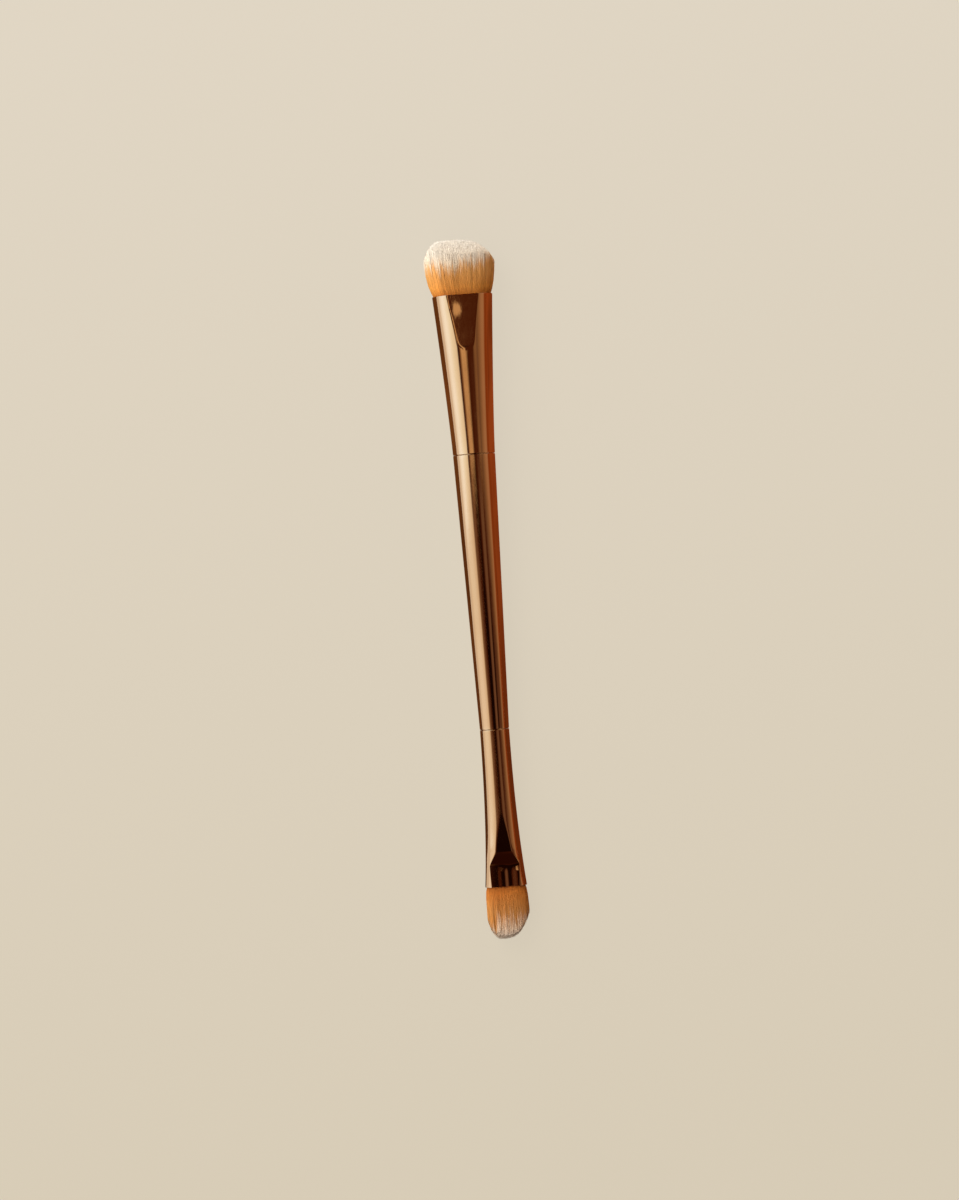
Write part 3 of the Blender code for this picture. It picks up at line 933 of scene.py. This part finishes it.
def add_mix(tree, factor, first, second, blend="MIX"):
    """One colour laid over another by a factor. Each is given as numbers or linked."""
    mix = add_node(tree, "Mix", data_type="RGBA", blend_type=blend)
    for index, value in ((0, factor), (6, first), (7, second)):
        if isinstance(value, bpy.types.NodeSocket):
            tree.links.new(value, mix.inputs[index])
        else:
            mix.inputs[index].default_value = value if index == 0 else (*value, 1)
    return mix.outputs[2]


def add_scaled(tree, vector, amount):
    """A vector or colour times an amount."""
    return add_node(tree, "VectorMath", {0: vector, "Scale": amount}, operation="SCALE").outputs[0]


def add_math(tree, operation, first, second=0.0):
    """What an operation makes of one or two values."""
    return add_node(tree, "Math", {0: first, 1: second}, operation=operation).outputs[0]


def add_bump(tree, height, depth, strength, under=None):
    """A normal that a height tilts, laid over the normal under it."""
    inputs = {"Height": height, "Distance": depth, "Strength": strength}
    if under is not None:
        inputs["Normal"] = under
    return add_node(tree, "Bump", inputs).outputs["Normal"]


def new_material(name):
    """A material with its node tree and its main shader."""
    material = bpy.data.materials.new(name)
    material.use_nodes = True
    tree = material.node_tree
    return material, tree, tree.nodes["Principled BSDF"]


def link(tree, output, shader, key):
    """Leads an output of the tree to a named input of the shader."""
    tree.links.new(output, shader.inputs[key])


def metal_material(name, metal):
    """Polished copper-coloured sheet: drawn lines, ripples and smudges, tooled flats, rims lighter as
    wear and as a painted highlight.
    """
    material, tree, shader = new_material(name)
    clouds = add_range(tree, add_noise(tree, CLOUDS), CLOUDS.reach, CLOUD_SHARES)
    lines = add_noise(tree, DRAWN_LINES)
    line_share = add_range(tree, lines, DRAWN_LINES.reach, LINE_SHARES)
    # Painted highlight and wear: a lighter colour near the seams and lips
    wear_and_highlight_share = add_range(tree, read_attribute(tree, "rim"), WEAR_AND_HIGHLIGHT_REACH, WEAR_AND_HIGHLIGHT_SHARES)
    base = add_mix(tree, clouds, metal.colour, metal.deep_colour)
    streaked = add_mix(tree, line_share, base, metal.deep_colour)
    wear_and_highlight = add_mix(tree, wear_and_highlight_share, streaked, metal.worn_colour)
    link(tree, wear_and_highlight, shader, "Base Color")
    hairlines = add_range(tree, add_noise(tree, HAIRLINES), HAIRLINES.reach, HAIRLINE_ROUGHNESS)
    smudges = add_range(tree, add_noise(tree, SMUDGES), SMUDGES.reach, SMUDGE_ROUGHNESS)
    link(tree, add_math(tree, "ADD", smudges, hairlines), shader, "Roughness")
    shader.inputs["Metallic"].default_value = 1
    ripples = add_noise(tree, SHEET_RIPPLES)
    rippled = add_bump(tree, ripples, SHEET_RIPPLE_DEPTH, SHEET_RIPPLE_STRENGTH)
    pressed = read_attribute(tree, "pressed")
    tooled = add_bump(tree, add_noise(tree, TOOLING), TOOLING_DEPTH, pressed, rippled)
    link(tree, add_bump(tree, lines, LINE_DEPTH, LINE_STRENGTH, tooled), shader, "Normal")
    return material


def bristle_material(name, hair):
    """Two-tone filaments, amber at the root and pale at the tip, each changing at its own height."""
    material, tree, shader = new_material(name)
    height = read_attribute(tree, "height")
    past_fade = add_math(tree, "SUBTRACT", height, read_attribute(tree, "fade"))
    tipness = add_range(tree, past_fade, (-hair.fade_width, hair.fade_width), (0, 1), smooth=True)
    grain = add_noise(tree, HAIR_GRAIN)
    speckle = add_range(tree, grain, HAIR_GRAIN.reach, HAIR_SPECKLE)
    shade = read_attribute(tree, "shade")
    root_shade = add_math(tree, "ADD", add_range(tree, shade, (0, 1), ROOT_SHADES), speckle)
    tip_shade = add_range(tree, shade, (0, 1), TIP_SHADES)
    # Painted shade: the amber's first stops darken towards the mouth
    rooted = add_scaled(tree, add_ramp(tree, height, zip(ROOT_PLACES, hair.roots)), root_shade)
    tipped = add_scaled(tree, add_ramp(tree, height, zip(TIP_PLACES, hair.tips)), tip_shade)
    link(tree, add_mix(tree, tipness, rooted, tipped), shader, "Base Color")
    rough = add_range(tree, grain, HAIR_GRAIN.reach, HAIR_ROUGHNESS)
    link(tree, rough, shader, "Roughness")
    own = add_node(tree, "NewGeometry").outputs["Normal"]
    lifted = add_scaled(tree, read_attribute(tree, "outward", "Vector"), OUTWARD_SHARE)
    joined = add_node(tree, "VectorMath", {0: own, 1: lifted}, operation="ADD").outputs[0]
    softened = add_node(tree, "VectorMath", {0: joined}, operation="NORMALIZE").outputs[0]
    link(tree, add_bump(tree, grain, HAIR_DEPTH, HAIR_STRENGTH, softened), shader, "Normal")
    shader.inputs["Specular IOR Level"].default_value = HAIR_GLOSS
    return material


def cast_material(name, cast):
    """Moulded or cast plastic: mottled, finely pitted, a little uneven in gloss."""
    material, tree, shader = new_material(name)
    pit_grains = (1 / cast.bubble_size,) * 3
    mottle_grains = (1 / cast.bubble_size / MOTTLE_BUBBLES,) * 3
    mottle = add_noise(tree, Noise(mottle_grains, MOTTLE_DETAIL, CAST_GRAIN_ROUGHNESS, CAST_REACH))
    pits = add_noise(tree, Noise(pit_grains, PIT_DETAIL, CAST_GRAIN_ROUGHNESS, CAST_REACH))
    link(tree, add_ramp(tree, mottle, zip(CAST_REACH, cast.colours)), shader, "Base Color")
    link(tree, add_range(tree, pits, CAST_REACH, cast.roughness), shader, "Roughness")
    link(tree, add_bump(tree, pits, cast.bubble_size / PIT_SHARE, PIT_STRENGTH), shader, "Normal")
    shader.inputs["Transmission Weight"].default_value = cast.clear
    return material


def dress_inner_pieces(nodes):
    """Detailed finishes for the moulded plugs, the glue bands and the epoxy inside the brush."""
    finishes = {
        "joint_plug": cast_material("plug_plastic", PLUG_PLASTIC),
        "glue": cast_material("joint_glue", JOINT_GLUE),
        "epoxy_plug": cast_material("epoxy", EPOXY),
    }
    for name, node in nodes.items():
        for ending, material in finishes.items():
            if name.endswith(ending):
                node.data.materials.clear()
                node.data.materials.append(material)


def brush_pose():
    """How the solids lie: on both crowns, with the large head a little higher."""
    large_x = LARGE_HEAD.length - LARGE_HEAD.press_length
    small_x = -(TUBE_LENGTH + SMALL_HEAD.length - SMALL_HEAD.press_length)
    drop = LARGE_HEAD.half_crown - SMALL_HEAD.half_crown
    tilt = math.atan2(-drop, large_x - small_x)
    lift = LARGE_HEAD.half_crown * math.cos(tilt) + large_x * math.sin(tilt)
    return Matrix.Translation((BRUSH_X, 0, lift)) @ Matrix.Rotation(tilt, 4, "Y")


def make_table():
    """Pale paper under the brush. Where it is seen, its own glow evens out the light of the lamps."""
    material, tree, shader = new_material("table_paper")
    blotches = add_range(tree, add_noise(tree, PAPER_BLOTCHES), PAPER_BLOTCHES.reach, (0, 1))
    pale = tuple(part * TABLE_MOTTLE for part in TABLE_COLOUR)
    mottled = add_mix(tree, blotches, TABLE_COLOUR, pale)
    # Painted shade: colour and glow darken a little towards negative X
    painted_light_share = add_range(tree, place_along(tree), TABLE_FADE, (0, 1))
    shade = add_mix(tree, painted_light_share, TABLE_FAR_PAINTED_SHADE, (1, 1, 1))
    link(tree, add_mix(tree, 1.0, mottled, shade, "MULTIPLY"), shader, "Base Color")
    fibres = add_noise(tree, PAPER_FIBRES)
    link(tree, add_bump(tree, fibres, FIBRE_DEPTH, FIBRE_STRENGTH), shader, "Normal")
    shader.inputs["Roughness"].default_value = PAPER_ROUGHNESS
    shader.inputs["Specular IOR Level"].default_value = PAPER_GLOSS
    glow_colour = add_mix(tree, 1.0, TABLE_GLOW, shade, "MULTIPLY")
    glow = add_node(tree, "Emission", {"Color": glow_colour, "Strength": 1.0}).outputs[0]
    rays = add_node(tree, "LightPath").outputs
    direct = add_math(tree, "MAXIMUM", rays["Is Camera Ray"], rays["Is Glossy Ray"])
    direct = add_math(tree, "MAXIMUM", direct, rays["Is Transmission Ray"])
    share = add_math(tree, "MULTIPLY", direct, TABLE_GLOW_SHARE)
    paper = add_node(tree, "MixShader", {0: share, 1: shader.outputs[0], 2: glow})
    tree.links.new(paper.outputs[0], tree.nodes["Material Output"].inputs["Surface"])
    reach = TABLE_SIZE / 2
    corners = [(-reach, -reach, 0), (reach, -reach, 0), (reach, reach, 0), (-reach, reach, 0)]
    table = flat_sheet("table", corners, material)


def flat_sheet(name, corners, material):
    """One flat face."""
    mesh = bpy.data.meshes.new(name)
    mesh.from_pydata(corners, [], [range(len(corners))])
    mesh.materials.append(material)
    sheet = bpy.data.objects.new(name, mesh)
    bpy.context.scene.collection.objects.link(sheet)
    return sheet


def make_flag(name, colour, far_edge, side):
    """A dim low card beside the brush that shows only in its polished sides."""
    material = bpy.data.materials.new(name)
    material.use_nodes = True
    tree = material.node_tree
    tree.nodes.remove(tree.nodes["Principled BSDF"])
    patches = add_range(tree, add_noise(tree, FLAG_PATCHES), FLAG_PATCHES.reach, (0, 1))
    uneven = add_mix(tree, patches, tuple(part * FLAG_SHADE for part in colour), colour)
    strength = add_range(tree, place_along(tree), FLAG_FADE, FLAG_FADE_STRENGTHS)
    glow = add_node(tree, "Emission", {"Color": uneven, "Strength": strength})
    tree.links.new(glow.outputs[0], tree.nodes["Material Output"].inputs["Surface"])
    corners = [(x, side * y, FLAG_HEIGHT) for x, y in FLAG_NEAR_EDGE + far_edge]
    flag = flat_sheet(name, corners, material)
    flag.visible_camera = False
    flag.visible_diffuse = False
    flag.visible_shadow = False


def turn_shares(bands):
    """A zone's bands as stops of a ramp that runs once round the brush."""
    return [((angle + 180) / 360, colour) for angle, colour in bands]


def make_studio():
    """The room as the polished metal shows it: a wide bright screen at the left, dark overhead."""
    world = bpy.data.worlds.new("studio")
    bpy.context.scene.world = world
    world.use_nodes = True
    tree = world.node_tree
    tree.nodes.clear()
    direction = add_node(tree, "TexCoord").outputs["Generated"]
    parts = add_node(tree, "SeparateXYZ", {0: direction}).outputs
    angle = add_math(tree, "ARCTAN2", parts["Y"], parts["Z"])
    turn = add_range(tree, angle, (-math.pi, math.pi), (0, 1))
    along = add_math(tree, "ARCSINE", parts["X"])
    seen = add_ramp(tree, turn, turn_shares(END_BANDS))
    for begin, full, bands in STUDIO_ZONES:
        reach = (math.radians(begin), math.radians(full))
        share = add_range(tree, along, reach, (0, 1), smooth=True)
        seen = add_mix(tree, share, seen, add_ramp(tree, turn, turn_shares(bands)))
    rays = add_node(tree, "LightPath").outputs
    lit = add_node(tree, "Background", {"Color": seen, "Strength": STUDIO_STRENGTH})
    plain = add_node(tree, "Background", {"Color": (*BACKDROP, 1), "Strength": 1.0})
    shown = {0: rays["Is Camera Ray"], 1: lit.outputs[0], 2: plain.outputs[0]}
    both = add_node(tree, "MixShader", shown)
    out = add_node(tree, "OutputWorld")
    tree.links.new(both.outputs[0], out.inputs["Surface"])


def make_lamp(lamp):
    """A large soft lamp aimed at the brush. Polished metal doesn't show its panel."""
    data = bpy.data.lights.new(lamp.name, "AREA")
    data.shape = "SQUARE"
    data.size = lamp.size
    data.energy = lamp.power
    data.color = lamp.colour
    panel = bpy.data.objects.new(lamp.name, data)
    panel.location = lamp.place
    panel.rotation_euler = (-panel.location).to_track_quat("-Z", "Y").to_euler()
    panel.visible_glossy = False
    bpy.context.scene.collection.objects.link(panel)


def make_camera():
    """The photograph's view, straight down."""
    data = bpy.data.cameras.new("camera")
    data.lens = CAMERA_LENS
    data.sensor_width = CAMERA_SENSOR
    data.clip_start = CAMERA_NEAR
    camera = bpy.data.objects.new("camera", data)
    camera.location = (CAMERA_X, CAMERA_Y, CAMERA_HEIGHT)
    camera.rotation_euler = (0, 0, CAMERA_TURN)
    bpy.context.scene.collection.objects.link(camera)
    bpy.context.scene.camera = camera


def main():
    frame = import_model()
    large_place = brush_pose()
    turn = Matrix.Rotation(math.pi, 4, "Z")
    small_place = large_place @ Matrix.Translation((-TUBE_LENGTH, 0, 0)) @ turn
    make_handle(metal_material("handle_metal", HANDLE_METAL), large_place)
    ferrule_metal = metal_material("ferrule_metal", FERRULE_METAL)
    make_ferrule(LARGE_HEAD, ferrule_metal, large_place)
    make_ferrule(SMALL_HEAD, ferrule_metal, small_place)
    large_hair = bristle_material("large_bristles", LARGE_HAIR)
    small_hair = bristle_material("small_bristles", SMALL_HAIR)
    make_tuft(LARGE_HEAD, LARGE_TUFT, large_hair, large_place)
    make_tuft(SMALL_HEAD, SMALL_TUFT, small_hair, small_place)
    dress_inner_pieces(frame["nodes"])
    make_table()
    make_flag("left_flag", LEFT_FLAG_COLOUR, LEFT_FLAG_EDGE, 1)
    make_flag("right_flag", RIGHT_FLAG_COLOUR, RIGHT_FLAG_EDGE, -1)
    make_studio()
    for lamp in LAMPS:
        make_lamp(lamp)
    make_camera()
    bpy.context.scene.view_settings.view_transform = "Standard"


main()
